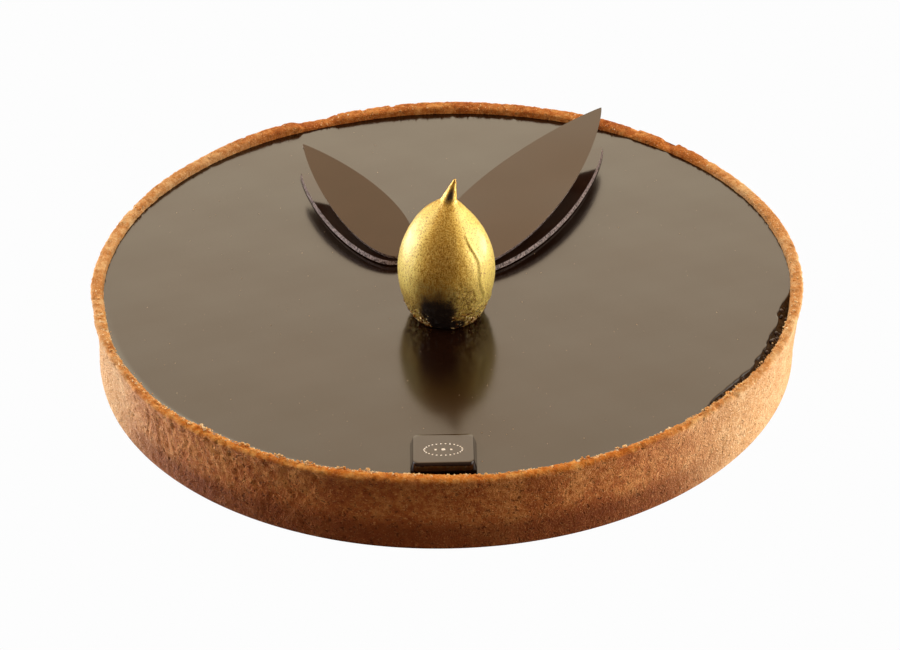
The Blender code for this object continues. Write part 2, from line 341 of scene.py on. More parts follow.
# The foot, darker up to a height made ragged by the mottling: partly browned, partly painted shade.
foot = add(tree, "SeparateXYZ", {}, {0: place})
mottle_and_height = {0: mottle.outputs["Fac"], 2: foot.outputs["Z"]}
foot = add(tree, "Math", {"operation": "MULTIPLY_ADD", 1: -8 * MM}, mottle_and_height)
fading = {"From Min": 7 * MM, "From Max": 2.5 * MM, "To Max": 0.8}
foot = add(tree, "MapRange", fading, {"Value": foot.outputs[0]})
foot = add(tree, "Math", {"operation": "MULTIPLY"}, {0: foot.outputs[0], 1: toasted.outputs["Fac"]})
# The mottling, coarse and fine together.
coarse_and_fine = {0: mottle.outputs["Fac"], 2: tone.outputs["Fac"]}
mixed = add(tree, "Math", {"operation": "MULTIPLY_ADD", 1: 1.5}, coarse_and_fine)
mixed = add(tree, "Math", {"operation": "MULTIPLY_ADD", 1: 0.62, 2: -0.017}, {0: mixed.outputs[0]})
# The wall's colours where it is pale and where it is toasted and painted in shade, and then the rim's.
ramps = []
for stops in (
    [(0.44, "#B88050"), (0.72, "#CC9A66"), (1.0, "#E2BE92")],
    [(0.46, "#803C1E"), (0.72, "#B06634"), (0.98, "#E29E5C")],
    [(0.52, "#B8783E"), (0.74, "#D2965A"), (0.95, "#EAC692")],
    [(0.50, "#A04E1A"), (0.74, "#D07E30"), (0.95, "#F0B464")],
):
    ramps.append(add(tree, "ValToRGB", {}, {"Fac": mixed.outputs[0]}, stops).outputs["Color"])
wall_colour = blend_tones(tree, toasted.outputs["Fac"], ramps[0], ramps[1])
rim_colour = blend_tones(tree, toasted.outputs["Fac"], ramps[2], ramps[3])
wall_and_foot = blend_tones(tree, foot.outputs[0], wall_colour, "#763C1E")
body = blend_tones(tree, browning.outputs["Fac"], wall_and_foot, rim_colour)
# The grains are fewer on the darker foot, and the pores on the browned rim.
pale = {"From Min": 0.58, "From Max": 0.68, "To Max": 0.85}
pale = add(tree, "MapRange", pale, {"Value": grains.outputs["Fac"]})
dark = {"From Min": 0.62, "From Max": 0.70, "To Max": 0.7}
dark = add(tree, "MapRange", dark, {"Value": pores.outputs["Fac"]})
clean = add(tree, "Math", {"operation": "MULTIPLY_ADD", 1: -0.8, 2: 1.0}, {0: foot.outputs[0]})
pale = add(tree, "Math", {"operation": "MULTIPLY"}, {0: pale.outputs[0], 1: clean.outputs[0]})
skinned = add(tree, "Math", {"operation": "MULTIPLY_ADD", 1: -0.8, 2: 1.0}, {0: browning.outputs["Fac"]})
dark = add(tree, "Math", {"operation": "MULTIPLY"}, {0: dark.outputs[0], 1: skinned.outputs[0]})
grain_colour = blend_tones(tree, toasted.outputs["Fac"], "#EED2A8", "#DEA468")
pore_colour = blend_tones(tree, toasted.outputs["Fac"], "#A06A38", "#5A2C12")
with_grains = blend_tones(tree, pale.outputs[0], body, grain_colour)
with_pores = blend_tones(tree, dark.outputs[0], with_grains, pore_colour)
height = add(tree, "Math", {"operation": "SUBTRACT"}, {0: grains.outputs["Fac"], 1: dark.outputs[0]})
bump = add(tree, "Bump", {"Strength": 1.0, "Distance": 0.5 * MM}, {"Height": height.outputs[0]})
tree.links.new(with_pores, shader.inputs["Base Color"])
tree.links.new(bump.outputs["Normal"], shader.inputs["Normal"])
shader.inputs["Roughness"].default_value = 0.75
shader.inputs["Specular IOR Level"].default_value = 0.08
crust.data.materials.append(material)
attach(crust, "root")
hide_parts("crust")

# The crumbs. Loose shortcrust left by the trimming knife, most of it stuck along the rim's inner edge
# at the front, where the ganache met it: some strewn on the rim, a few strays on the ganache, and
# some in little heaps. Many small lumps in one mesh.
RIM_CRUMBS = 1700
STRAY_CRUMBS = 60
HEAP_CRUMBS = 10
HEAP_AZIMUTHS = [229.5, 231.0, 238.0, 244.0, 248.0, 254.0, 257.5, 291.0, 297.0, 319.0, 322.0]


def lumps(name, centres, sizes, seed, flat=1.0, facing=(0.0, 0.0, 1.0), uneven=0.25, divisions=1):
    """Many small lumps in one mesh. Each is an icosphere whose corners are moved in and out at random,
    turned by a random rotation, scaled to its size, and pressed flat along the way that it faces."""
    draw = np.random.default_rng(seed)
    ball = bmesh.new()
    bmesh.ops.create_icosphere(ball, subdivisions=divisions, radius=1.0)
    corners = np.array([vertex.co for vertex in ball.verts])
    faces = np.array([[vertex.index for vertex in face.verts] for face in ball.faces])
    ball.free()
    count = len(centres)
    axes, _ = np.linalg.qr(draw.normal(size=(count, 3, 3)))
    axes *= np.sign(np.linalg.det(axes))[:, None, None]
    points = corners * draw.uniform(0.9 - uneven, 0.9 + uneven, (count, len(corners), 1))
    points *= draw.uniform(1 - 1.6 * uneven, 1.0, (count, 1, 3))
    points = points @ axes
    facing = np.broadcast_to(facing, (count, 3))[:, None]
    points -= (1 - flat) * (points * facing).sum(-1, keepdims=True) * facing
    points = np.asarray(centres)[:, None] + 0.5 * np.asarray(sizes)[:, None, None] * points
    index = faces + len(corners) * np.arange(count)[:, None, None]
    mesh = bpy.data.meshes.new(name)
    mesh.from_pydata(points.reshape(-1, 3).tolist(), [], index.reshape(-1, 3).tolist())
    mesh.shade_smooth()
    piece = bpy.data.objects.new(name, mesh)
    bpy.context.scene.collection.objects.link(piece)
    return piece


def polar(radius, degrees, height):
    """Points at a radius, an azimuth in degrees and a height, moved as the rim is uneven."""
    azimuth = np.radians(degrees)
    points = np.stack([radius * np.cos(azimuth), radius * np.sin(azimuth), height], -1)
    return warp_like_rim(points, azimuth)


def mottled_material(name, grain, stops, roughness):
    """A material of an even roughness whose colours are mottled by noise of a grain's size."""
    material, tree, shader, place = new_material(name)
    tone = add(tree, "TexNoise", {"Scale": 1 / grain, "Detail": 2.0}, {"Vector": place})
    colour = add(tree, "ValToRGB", {}, {"Fac": tone.outputs["Fac"]}, stops)
    tree.links.new(colour.outputs["Color"], shader.inputs["Base Color"])
    shader.inputs["Roughness"].default_value = roughness
    return material


draw = np.random.default_rng(40)
# Most lie between 190 and 350 degrees, crowded towards the left of the front, and the rest anywhere.
# They follow the rim's rounding down at its inner edge.
at_front = draw.random(RIM_CRUMBS) < 0.76
front_turn = 190 + 160 * draw.random(RIM_CRUMBS) ** 1.7
turn = np.where(at_front, front_turn, 360 * draw.random(RIM_CRUMBS))
from_edge = draw.random(RIM_CRUMBS) ** 1.6
rounding = 0.05 * MM - 0.6 * MM * (1 - from_edge) ** 5
strewn = polar(INNER_RADIUS + (0.15 + 2.2 * from_edge) * MM, turn, CASE_HEIGHT + rounding)
turn = 195 + 150 * draw.random(STRAY_CRUMBS)
radius = INNER_RADIUS - 1.6 * MM * draw.random(STRAY_CRUMBS)
stray = polar(radius, turn, np.full(STRAY_CRUMBS, GANACHE_TOP))
sizes = (0.4 + 0.75 * draw.random(RIM_CRUMBS + STRAY_CRUMBS) ** 3) * MM
count = len(HEAP_AZIMUTHS) * HEAP_CRUMBS
turn = np.repeat(HEAP_AZIMUTHS, HEAP_CRUMBS) + 0.55 * draw.normal(size=count)
radius = INNER_RADIUS + (0.2 + 1.0 * draw.random(count)) * MM
heaped = polar(radius, turn, CASE_HEIGHT + 0.6 * MM * draw.random(count))
sizes = np.append(sizes, (0.6 + 0.65 * draw.random(count)) * MM)
crumbs = lumps("shortcrust_crumbs", np.vstack([strewn, stray, heaped]), sizes, 41)

# Crumbled shortcrust: broken open, so it is paler than the crust's skin, from straw to toasted brown, and
# painted paler still, near cream, as a painted highlight for the glint of the backlit crumbs.
stops = [(0.36, "#CC8434"), (0.50, "#ECB668"), (0.66, "#FCE8C0")]
crumbs.data.materials.append(mottled_material("crumbled_shortcrust_with_painted_glint", 1.6 * MM, stops, 0.6))
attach(crumbs, "root")

# The ganache. Cream and dark chocolate, poured warm to just under the rim and left to level, so it
# is a mirror with a soft meniscus; at the right of the front it shrank from the crust and bubbled.
GANACHE_COLUMNS = 960
GANACHE_STEP = 1.6 * MM
EDGE_STEP = 0.30 * MM
HIDDEN_GANACHE_STEP = 14 * MM
GAP = 0.3 * MM
# Slow waves in its level: length, height, heading in degrees and phase in radians.
LEVEL_WAVES = [
    (47 * MM, 0.030 * MM, 12, 0.0),
    (33 * MM, 0.018 * MM, 75, 2.0),
    (24 * MM, 0.012 * MM, 138, 4.1),
    (13 * MM, 0.004 * MM, 40, 1.3),
    (9 * MM, 0.002 * MM, 110, 5.2),
]


def ripples(points, waves):
    """The sum of straight sine waves over the XY plane."""
    total = np.zeros(points.shape[:-1])
    for length, size, heading, phase in waves:
        turn = math.radians(heading)
        along = points[..., 0] * math.cos(turn) + points[..., 1] * math.sin(turn)
        total += size * np.sin(2 * np.pi * along / length + phase)
    return total


# Its section, as corners (radius, height): out over the top, round its edge, and back below.
ganache_edge = INNER_RADIUS + 0.2 * MM
ganache_foot = FLOOR_THICKNESS + GAP
top_run = [(0.0, GANACHE_TOP), (0.5 * ganache_edge, GANACHE_TOP), (ganache_edge - 6 * MM, GANACHE_TOP)]
edge_run = [
    (ganache_edge - 6.0 * MM, GANACHE_TOP),
    (ganache_edge - 2.4 * MM, GANACHE_TOP),
    (ganache_edge - 0.8 * MM, GANACHE_TOP),
    (ganache_edge, GANACHE_TOP),
    (ganache_edge + 0.1 * MM, GANACHE_TOP - 0.4 * MM),
    (ganache_edge - 0.1 * MM, GANACHE_TOP - 1.2 * MM),
    (ganache_edge - 0.6 * MM, GANACHE_TOP - 4.0 * MM),
]
below_run = [
    (ganache_edge - 0.6 * MM, GANACHE_TOP - 4.0 * MM),
    (ganache_edge - 1.3 * MM, 7.0 * MM),
    (ganache_edge - 4.5 * MM, ganache_foot),
    (0.5 * ganache_edge, ganache_foot),
    (0.0, ganache_foot),
]
ganache_runs = [
    smooth_line(top_run, GANACHE_STEP),
    smooth_line(edge_run, EDGE_STEP),
    smooth_line(below_run, HIDDEN_GANACHE_STEP),
]
points, normals, azimuth = turned(joined(ganache_runs), GANACHE_COLUMNS)
radius = np.linalg.norm(points[..., :2], axis=-1)
upper = smoothstep(points[..., 2], GANACHE_TOP - 3 * MM, GANACHE_TOP - 1.5 * MM)
# Where it shrank: full between 320 and 346 degrees, gone 10 degrees further on. Its level falls away in
# a ragged band about 3 mm wide, along a parabola that ends 2.2 mm down.
degrees = np.degrees(azimuth)
shrunk = smoothstep(degrees, 310, 320) * (1 - smoothstep(degrees, 346, 356))
band = (3.0 + 0.7 * grain_field(points, 6 * MM, 14) + 0.4 * grain_field(points, 1.9 * MM, 15)) * MM * shrunk
into_band = np.clip((radius - ganache_edge + band) / (band + 0.05 * MM), 0, 1)
level = ripples(points, LEVEL_WAVES)
level -= shrunk * (1 - (1 - into_band) ** 2) * (2.2 * MM + 0.4 * MM * grain_field(points, 1.5 * MM, 13))
# Round the front left it climbed the crust a little.
climbed = smoothstep(degrees, 180, 205) * (1 - smoothstep(degrees, 285, 312))
level += climbed * 0.4 * MM * smoothstep(radius, ganache_edge - 2.4 * MM, ganache_edge + 0.4 * MM)
points[..., 2] += upper * level
ganache = closed_piece("ganache_filling", warp_like_rim(points, azimuth))

# Set dark ganache: nearly black brown under a mirror-smooth fatty skin, so all that shows of it is the
# studio that it reflects, softened a little with distance.
material, tree, shader, place = new_material("dark_ganache_glaze")
skin = add(tree, "TexNoise", {"Scale": 1 / (30 * MM), "Detail": 2.0}, {"Vector": place})
dull = add(tree, "MapRange", {"To Min": 0.14, "To Max": 0.18}, {"Value": skin.outputs["Fac"]})
tree.links.new(dull.outputs[0], shader.inputs["Roughness"])
cocoa = add(tree, "ValToRGB", {}, {"Fac": skin.outputs["Fac"]}, [(0.3, "#180A04"), (0.7, "#1E0E06")])
tree.links.new(cocoa.outputs["Color"], shader.inputs["Base Color"])
shader.inputs["IOR"].default_value = 1.50
ganache.data.materials.append(material)
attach(ganache, "root")
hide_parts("ganache")

# The flecks and bubbles. Pale flecks of cocoa butter float in the skin all over, and air came up as
# small domes where the ganache shrank from the crust.
FLECKS = 340
BUBBLES = 70
draw = np.random.default_rng(50)
# The square root spreads the flecks evenly over the disc.
radius = 100 * MM * np.sqrt(draw.random(FLECKS))
turn = 360 * draw.random(FLECKS)
centres = polar(radius, turn, np.full(FLECKS, GANACHE_TOP + 0.02 * MM))
sizes = (0.2 + 0.3 * draw.random(FLECKS) ** 3) * MM
flecks = lumps("cocoa_butter_flecks", centres, sizes, 51, flat=0.4)
turn = 317 + 36 * draw.random(BUBBLES)
from_edge = draw.random(BUBBLES)
radius = ganache_edge - (0.3 + 2.3 * from_edge) * MM
centres = polar(radius, turn, GANACHE_TOP - (2.1 - 1.5 * from_edge**2) * MM)
sizes = (0.5 + 1.4 * draw.random(BUBBLES) ** 1.5) * MM
bubbles = lumps("ganache_bubbles", centres, sizes, 52, flat=0.8, uneven=0.03, divisions=2)

# Bloomed cocoa butter is pale tan and waxy. The bubbles' skin is the same ganache, set dull and painted
# paler and greyer than it: a painted sheen for their lit domes.
tan = [(0.3, "#A08060"), (0.7, "#D8C09C")]
flecks.data.materials.append(mottled_material("cocoa_butter", 3 * MM, tan, 0.4))
painted_sheen_brown = [(0.3, "#2A1A16"), (0.7, "#4A3834")]
bubbles.data.materials.append(mottled_material("dull_ganache_painted_sheen", 2 * MM, painted_sheen_brown, 0.38))
for piece in (flecks, bubbles):
    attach(piece, "root")

# The leaves. Tempered dark chocolate spread thin on acetate, cut with a leaf-shaped cutter and laid
# in two pairs, the upper of each pair tipped up on the lower. Flat plates with rough cut edges.
LEAF_THICKNESS = 1.3 * MM
LEAF_BASE_POWER = 0.48
LEAF_TIP_POWER = 0.89
# Half-widths on the side away from the plaque and on the side towards it.
SMALL_LEAF = {"far": 11.6 * MM, "near": 8.0 * MM}
LARGE_LEAF = {"far": 14.9 * MM, "near": 15.9 * MM}
# The middle of the top face at the base and at the tip, in mm: x, y and height above the ganache.
LEAVES = {
    "leaf_left_lower": (SMALL_LEAF, (-13.9, 8.0, 1.65), (-46.5, 63.8, 1.65)),
    "leaf_left_upper": (SMALL_LEAF, (-13.9, 8.4, 3.25), (-45.5, 63.2, 12.9)),
    "leaf_right_lower": (LARGE_LEAF, (-1.9, 1.1, 1.65), (53.0, 77.0, 1.65)),
    "leaf_right_upper": (LARGE_LEAF, (-0.7, 1.0, 3.25), (53.0, 82.4, 13.7)),
}
# How far in each cut leans: a lower leaf is wider below than above, an upper leaf narrower.
LOWER_UNDERCUT, UPPER_UNDERCUT = -0.5 * MM, 0.6 * MM
LEAF_ROWS = 260
LEAF_COLUMNS = 22
EDGE_COLUMNS = 4


def leaf_points(widths, base, tip, undercut):
    """A leaf as cross-sections from its base to its tip. The outline's half-width is u^0.48 (1 - u)^0.89
    over its greatest value, and each cross-section runs over the top, down one edge, back below, and up.
    The underside is narrower than the top by the undercut, or wider where it is negative."""
    start = np.array(base) * MM + (0, 0, GANACHE_TOP)
    end = np.array(tip) * MM + (0, 0, GANACHE_TOP)
    length = np.linalg.norm(end - start)
    along = (end - start) / length
    across = np.cross((0, 0, 1), along)
    across /= np.linalg.norm(across)
    upward = np.cross(along, across)
    side_a, side_b = widths["far"], widths["near"]
    if across[1] < 0:
        side_a, side_b = side_b, side_a
    u = np.clip(0.5 - 0.5 * np.cos(np.pi * np.linspace(0, 1, LEAF_ROWS)), 0.0004, 0.9990)
    peak = LEAF_BASE_POWER / (LEAF_BASE_POWER + LEAF_TIP_POWER)
    fullest = peak**LEAF_BASE_POWER * (1 - peak) ** LEAF_TIP_POWER
    width = u**LEAF_BASE_POWER * (1 - u) ** LEAF_TIP_POWER / fullest
    over = np.linspace(-1, 1, LEAF_COLUMNS)
    down = np.linspace(0.03, 0.97, EDGE_COLUMNS)
    side = np.concatenate([over, np.ones(EDGE_COLUMNS), -over, -np.ones(EDGE_COLUMNS)])
    depth = np.concatenate([0 * over, down, 0 * over + 1, 1 - down])
    edge = np.concatenate([0 * over, 0 * down + 1, 0 * over, 0 * down + 1])
    reach = np.where(side > 0, side * side_a, side * side_b)
    drawn_in = np.minimum(undercut, 0.5 * side_b * width)
    y = width[:, None] * reach[None, :] - np.sign(side) * drawn_in[:, None] * depth
    x = np.broadcast_to(u[:, None] * length, y.shape)
    z = np.broadcast_to(-LEAF_THICKNESS * depth[None, :], y.shape)
    points = start + x[..., None] * along + y[..., None] * across + z[..., None] * upward
    return points, np.broadcast_to(edge, y.shape), upward


leaf_pieces = []
for number, (name, (widths, base, tip)) in enumerate(LEAVES.items()):
    undercut = LOWER_UNDERCUT if name.endswith("lower") else UPPER_UNDERCUT
    points, cut, upward = leaf_points(widths, base, tip, undercut)
    wobble = 0.12 * MM * grain_field(points, 22 * MM, 20 + number)
    points = points + wobble[..., None] * upward
    ends = [np.broadcast_to(points[row].mean(axis=0), points[row].shape)[None] for row in (0, -1)]
    points = np.concatenate([ends[0], points, ends[1]])
    piece = closed_piece(name + "_sheet", points, cut=np.concatenate([cut[:1], cut, cut[-1:]]))
    piece.data.set_sharp_from_angle(angle=math.radians(50))
    leaf_pieces.append(piece)

# Tempered dark chocolate: glossy from the acetate that it set on, so that a lower leaf mirrors the one
# above it, with a dull cut edge painted pale pinkish grey: a painted highlight for the light it catches.
material, tree, shader, place = new_material("tempered_chocolate")
cut = add(tree, "Attribute", {"attribute_name": "cut"})
cloud = add(tree, "TexNoise", {"Scale": 1 / (9 * MM), "Detail": 3.0}, {"Vector": place})
crumb = add(tree, "TexNoise", {"Scale": 1 / (0.6 * MM), "Detail": 2.0}, {"Vector": place})
face = add(tree, "ValToRGB", {}, {"Fac": cloud.outputs["Fac"]}, [(0.3, "#2D1C15"), (0.7, "#322018")])
# The cut edge's pale colour is a painted highlight.
cut_edge_with_painted_highlight = add(tree, "ValToRGB", {}, {"Fac": crumb.outputs["Fac"]}, [(0.38, "#362827"), (0.62, "#B2A3A3")])
colour = blend_tones(tree, cut.outputs["Fac"], face.outputs["Color"], cut_edge_with_painted_highlight.outputs["Color"])
dull = add(tree, "MapRange", {"To Min": 0.08, "To Max": 0.45}, {"Value": cut.outputs["Fac"]})
rough = add(tree, "Math", {"operation": "MULTIPLY"}, {0: crumb.outputs["Fac"], 1: cut.outputs["Fac"]})
bump = add(tree, "Bump", {"Strength": 0.7, "Distance": 0.2 * MM}, {"Height": rough.outputs[0]})
tree.links.new(colour, shader.inputs["Base Color"])
tree.links.new(dull.outputs[0], shader.inputs["Roughness"])
tree.links.new(bump.outputs["Normal"], shader.inputs["Normal"])
shader.inputs["IOR"].default_value = 1.46
for piece, name in zip(leaf_pieces, LEAVES):
    piece.data.materials.append(material)
    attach(piece, "root")
    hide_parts(name)

# The drop. A moulded chocolate egg drawn out to a point, brushed all over with edible gold powder and
# leaf, which is painted paler at the sides as a highlight and rubbed off low at the front. A turned
# surface, leaning a little at its tip.
DROP_X, DROP_Y = 0.5 * MM, -19.4 * MM
DROP_HEIGHT = 46.0 * MM
DROP_RADIUS = 14.7 * MM
DROP_BASE_RADIUS = 10.2 * MM
DROP_WAIST_HEIGHT = 15.1 * MM
DROP_SHOULDER_HEIGHT = 39.6 * MM
DROP_TIP_ROOT_RADIUS = 3.5 * MM
DROP_TIP_END_RADIUS = 0.4 * MM
DROP_TIP_LENGTH = 10.2 * MM
DROP_TIP_BLEND = 4.4
DROP_LEAN = 3.1 * MM
DROP_LEAN_START = 34.8 * MM
DROP_COLUMNS = 360
DROP_ROWS = 240


def drop_radius(height):
    """The drop's radius at a height: below the waist an ellipse down to the base, above it an ovoid
    (1 - t^1.9)^0.72, and near the top a tapering tip that takes over by a power mean."""
    below = (DROP_WAIST_HEIGHT - height) / DROP_WAIST_HEIGHT
    narrowing = 1 - (DROP_BASE_RADIUS / DROP_RADIUS) ** 2
    lower = DROP_RADIUS * np.sqrt(1 - narrowing * np.clip(below, 0, 1) ** 2)
    above = (height - DROP_WAIST_HEIGHT) / (DROP_SHOULDER_HEIGHT - DROP_WAIST_HEIGHT)
    ovoid = DROP_RADIUS * (1 - np.clip(above, 0, 1) ** 1.9) ** 0.72
    along_tip = np.clip((height - DROP_HEIGHT + DROP_TIP_LENGTH) / DROP_TIP_LENGTH, 0, 1)
    tip = DROP_TIP_ROOT_RADIUS + (DROP_TIP_END_RADIUS - DROP_TIP_ROOT_RADIUS) * along_tip
    blend = DROP_TIP_BLEND
    return np.where(height < DROP_WAIST_HEIGHT, lower, (ovoid**blend + tip**blend) ** (1 / blend))


def facing_share(azimuth, middle, start, full):
    """How much a surface faces a direction: a rise from start to full of the cosine between them."""
    return smoothstep(np.cos(azimuth - math.radians(middle)), start, full)


height = DROP_HEIGHT * np.linspace(0, 1, DROP_ROWS)
section = np.stack([drop_radius(height), height], -1)
cap = [(r * DROP_TIP_END_RADIUS, DROP_HEIGHT + 0.15 * MM * (1 - r * r)) for r in (0.7, 0.35, 0.0)]
section = np.vstack([[(0, 0), (0.6 * DROP_BASE_RADIUS, 0)], section, cap])
points, normals, azimuth = turned(section, DROP_COLUMNS)
height = points[..., 2]
relief = 0.14 * MM * grain_field(points, 7.5 * MM, 31) + 0.04 * MM * grain_field(points, 1.1 * MM, 32)
# A fold in the gold leaf runs down the right side: a ridge with a crease beside it. Its azimuth drifts
# as it falls, and wavers.
fold = (azimuth - math.radians(311) - 0.14 * (30 * MM - height) / (18 * MM)) * DROP_RADIUS
fold += 0.6 * MM * np.sin(height / (2.1 * MM))
in_fold = smoothstep(height, 6 * MM, 12 * MM) * (1 - smoothstep(height, 27 * MM, 33 * MM))
crease = in_fold * np.exp(-((fold / (0.8 * MM) + 1.4) ** 2))
relief += in_fold * 0.26 * MM * np.exp(-((fold / (0.7 * MM)) ** 2)) - 0.10 * MM * crease
# The foot is ragged.
ragged = 1 - smoothstep(height, 4 * MM, 12 * MM)
relief += ragged * 0.30 * MM * grain_field(points, 1.7 * MM, 34)
relief += ragged * 0.14 * MM * grain_field(points, 0.8 * MM, 35)
# The gold is rubbed off low at the front, in a streak on the tip, and at the foot right of the front.
low = 1 - smoothstep(height + 1.6 * MM * grain_field(points, 2.5 * MM, 37), 9 * MM, 21.5 * MM)
front = np.cos(azimuth - math.radians(257)) + 0.03 * grain_field(points, 3 * MM, 33)
on_tip = smoothstep(height, 38.0 * MM, 41.0 * MM) * (1 - smoothstep(height, 42 * MM, 45 * MM))
at_foot = 1 - smoothstep(height + 1.5 * MM * grain_field(points, 1.6 * MM, 38), 2.5 * MM, 6 * MM)
rubbed = low * smoothstep(front, 0.83, 0.985)
rubbed += 0.9 * facing_share(azimuth, 268, 0.75, 1.0) * on_tip
rubbed += at_foot * facing_share(azimuth, 283, 0.94, 0.99)
# The leaf is torn and flaky round the foot of the front, higher at its right, and along the crease.
right = facing_share(azimuth, 286, 0.88, 1.0)
torn = 1 - smoothstep(height, (5 + 7 * right) * MM, (12 + 9 * right) * MM)
torn *= smoothstep(-np.sin(azimuth), -0.1, 0.5)
relief += torn * 0.20 * MM * grain_field(points, 0.9 * MM, 36)
# The gold is painted pale at both sides, where the side lights glint, the right side down to its foot,
# and where it is torn: a painted highlight.
burnished = facing_share(azimuth, 200, 0.72, 0.98) * smoothstep(height, 6 * MM, 16 * MM)
burnished += facing_share(azimuth, 340, 0.62, 0.95)
burnished *= 1 - smoothstep(height, 36 * MM, 40 * MM)
burnished = np.maximum(burnished, 0.7 * torn)
torn = np.maximum(torn, 0.2 * crease)
# The relief dies away at the flat base and on the tip, which leans to the right.
relief *= smoothstep(height, 0.0, 1.0 * MM) * (1 - 0.8 * smoothstep(height, 36 * MM, 40 * MM))
points = points + normals * relief[..., None]
up_tip = np.clip((height - DROP_LEAN_START) / (DROP_HEIGHT - DROP_LEAN_START), 0, 1)
points[..., 0] += DROP_LEAN * up_tip**1.1
points += (DROP_X, DROP_Y, GANACHE_TOP + GAP)
drop = closed_piece("gilded_drop", points, rubbed=rubbed, torn=torn, burnished=burnished)

# Edible gold leaf and powder over chocolate: pale warm metal under a thin glaze, painted paler at the
# sides as a highlight, with fine hair-like brush marks and a little of the brown chocolate grinning
# through.
material, tree, shader, place = new_material("edible_gold_powder")
rubbed = add(tree, "Attribute", {"attribute_name": "rubbed"})
flecks = {"Scale": 1 / (0.36 * MM), "Detail": 2.0, "Roughness": 0.6}
flecks = add(tree, "TexNoise", flecks, {"Vector": place})
slanted = {"Rotation": (0.4, 0.7, 0.3), "Scale": (1.0, 1.0, 0.16)}
slanted = add(tree, "Mapping", slanted, {"Vector": place})
hairs = {"Scale": 1 / (0.35 * MM), "Detail": 1.0, "Distortion": 0.6}
hairs = add(tree, "TexNoise", hairs, {"Vector": slanted.outputs[0]})
patches = add(tree, "TexNoise", {"Scale": 1 / (7 * MM), "Detail": 3.0}, {"Vector": place})
hairs_and_flecks = {0: hairs.outputs["Fac"], 2: flecks.outputs["Fac"]}
brushed = add(tree, "Math", {"operation": "MULTIPLY_ADD", 1: 0.45}, hairs_and_flecks)
stops = [(0.50, "#8C5E1E"), (0.68, "#CC9E3A"), (0.90, "#F2DA7C")]
gold = add(tree, "ValToRGB", {}, {"Fac": brushed.outputs[0]}, stops)
# Tears, about 0.65 mm across, where the leaf is torn.
torn = add(tree, "Attribute", {"attribute_name": "torn"})
tears = {"Scale": 1 / (0.65 * MM), "Detail": 3.0, "Roughness": 0.8}
tears = add(tree, "TexNoise", tears, {"Vector": place})
tears = add(tree, "MapRange", {"From Min": 0.50, "From Max": 0.60}, {"Value": tears.outputs["Fac"]})
tears = add(tree, "Math", {"operation": "MULTIPLY"}, {0: tears.outputs[0], 1: torn.outputs["Fac"]})
# Bare chocolate where it is rubbed off, and in small specks all over.
bare = {0: flecks.outputs["Fac"], 2: rubbed.outputs["Fac"]}
bare = add(tree, "Math", {"operation": "MULTIPLY_ADD", 1: 0.9}, bare)
bare = add(tree, "MapRange", {"From Min": 0.55, "From Max": 1.35}, {"Value": bare.outputs[0]})
# Painted highlight: pale gold at the sides, where the brush marks stand up.
highlight_share = add(tree, "Attribute", {"attribute_name": "burnished"})
pale = {"operation": "MULTIPLY_ADD", 1: 4.0, 2: -2.1, "use_clamp": True}
pale = add(tree, "Math", pale, {0: brushed.outputs[0]})
pale = add(tree, "Math", {"operation": "MULTIPLY"}, {0: pale.outputs[0], 1: highlight_share.outputs["Fac"]})
gilt_with_painted_highlight = blend_tones(tree, pale.outputs[0], gold.outputs["Color"], "#F8E47C")
soiled = blend_tones(tree, tears.outputs[0], gilt_with_painted_highlight, "#6A3412")
colour = blend_tones(tree, bare.outputs[0], soiled, "#160B05")
# The powder is less of a metal where it is painted pale as a highlight or torn, and bare
# chocolate is none.
metal = add(tree, "Math", {"operation": "MAXIMUM"}, {0: tears.outputs[0], 1: highlight_share.outputs["Fac"]})
metal = add(tree, "Math", {"operation": "MULTIPLY_ADD", 1: -0.60, 2: 0.85}, {0: metal.outputs[0]})
less_bare = {0: metal.outputs[0], 1: bare.outputs[0]}
metal = add(tree, "Math", {"operation": "SUBTRACT", "use_clamp": True}, less_bare)
dull = {"From Min": 0.35, "From Max": 0.65, "To Min": 0.46, "To Max": 0.60}
dull = add(tree, "MapRange", dull, {"Value": patches.outputs["Fac"]})
bump = add(tree, "Bump", {"Strength": 0.6, "Distance": 0.12 * MM}, {"Height": brushed.outputs[0]})
tree.links.new(colour, shader.inputs["Base Color"])
tree.links.new(metal.outputs[0], shader.inputs["Metallic"])
tree.links.new(dull.outputs[0], shader.inputs["Roughness"])
tree.links.new(bump.outputs["Normal"], shader.inputs["Normal"])
shader.inputs["Coat Weight"].default_value = 0.4
shader.inputs["Coat Roughness"].default_value = 0.25
drop.data.materials.append(material)
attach(drop, "root")
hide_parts("gold_drop")

# The torn gold leaf. Scraps of it stand off the foot of the drop at both sides of the front, where the
# brush caught it: thin crumpled flakes, browned where chocolate clings to them.
FLAKES = 320
draw = np.random.default_rng(60)
# Half of them lie from 190 to 244 degrees, and half from 276 to 340.
at_left = draw.random(FLAKES) < 0.5
turn = np.radians(np.where(at_left, 190, 276) + np.where(at_left, 54, 64) * draw.random(FLAKES))
rise = (0.2 + 6.0 * draw.random(FLAKES) ** 1.8) * MM
radius = drop_radius(rise)
centres = np.stack([radius * np.cos(turn), radius * np.sin(turn), rise], -1)
centres += (DROP_X, DROP_Y, GANACHE_TOP + GAP)
facing = np.stack([np.cos(turn), np.sin(turn), -0.4 + 0 * turn], -1)
facing += 0.45 * draw.normal(size=(FLAKES, 3))
facing /= np.linalg.norm(facing, axis=1, keepdims=True)
sizes = (0.6 + 1.1 * draw.random(FLAKES) ** 2) * MM
flakes = lumps("gold_leaf_flakes", centres, sizes, 61, flat=0.15, facing=facing)

# Crumpled gold leaf: bright metal where it is clean, red-brown where it is not.
stops = [(0.42, "#6A3412"), (0.50, "#C48E38"), (0.58, "#FBEAB4")]
material = mottled_material("crumpled_gold_leaf", 1.1 * MM, stops, 0.38)
material.node_tree.nodes["Principled BSDF"].inputs["Metallic"].default_value = 0.6
flakes.data.materials.append(material)
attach(flakes, "root")

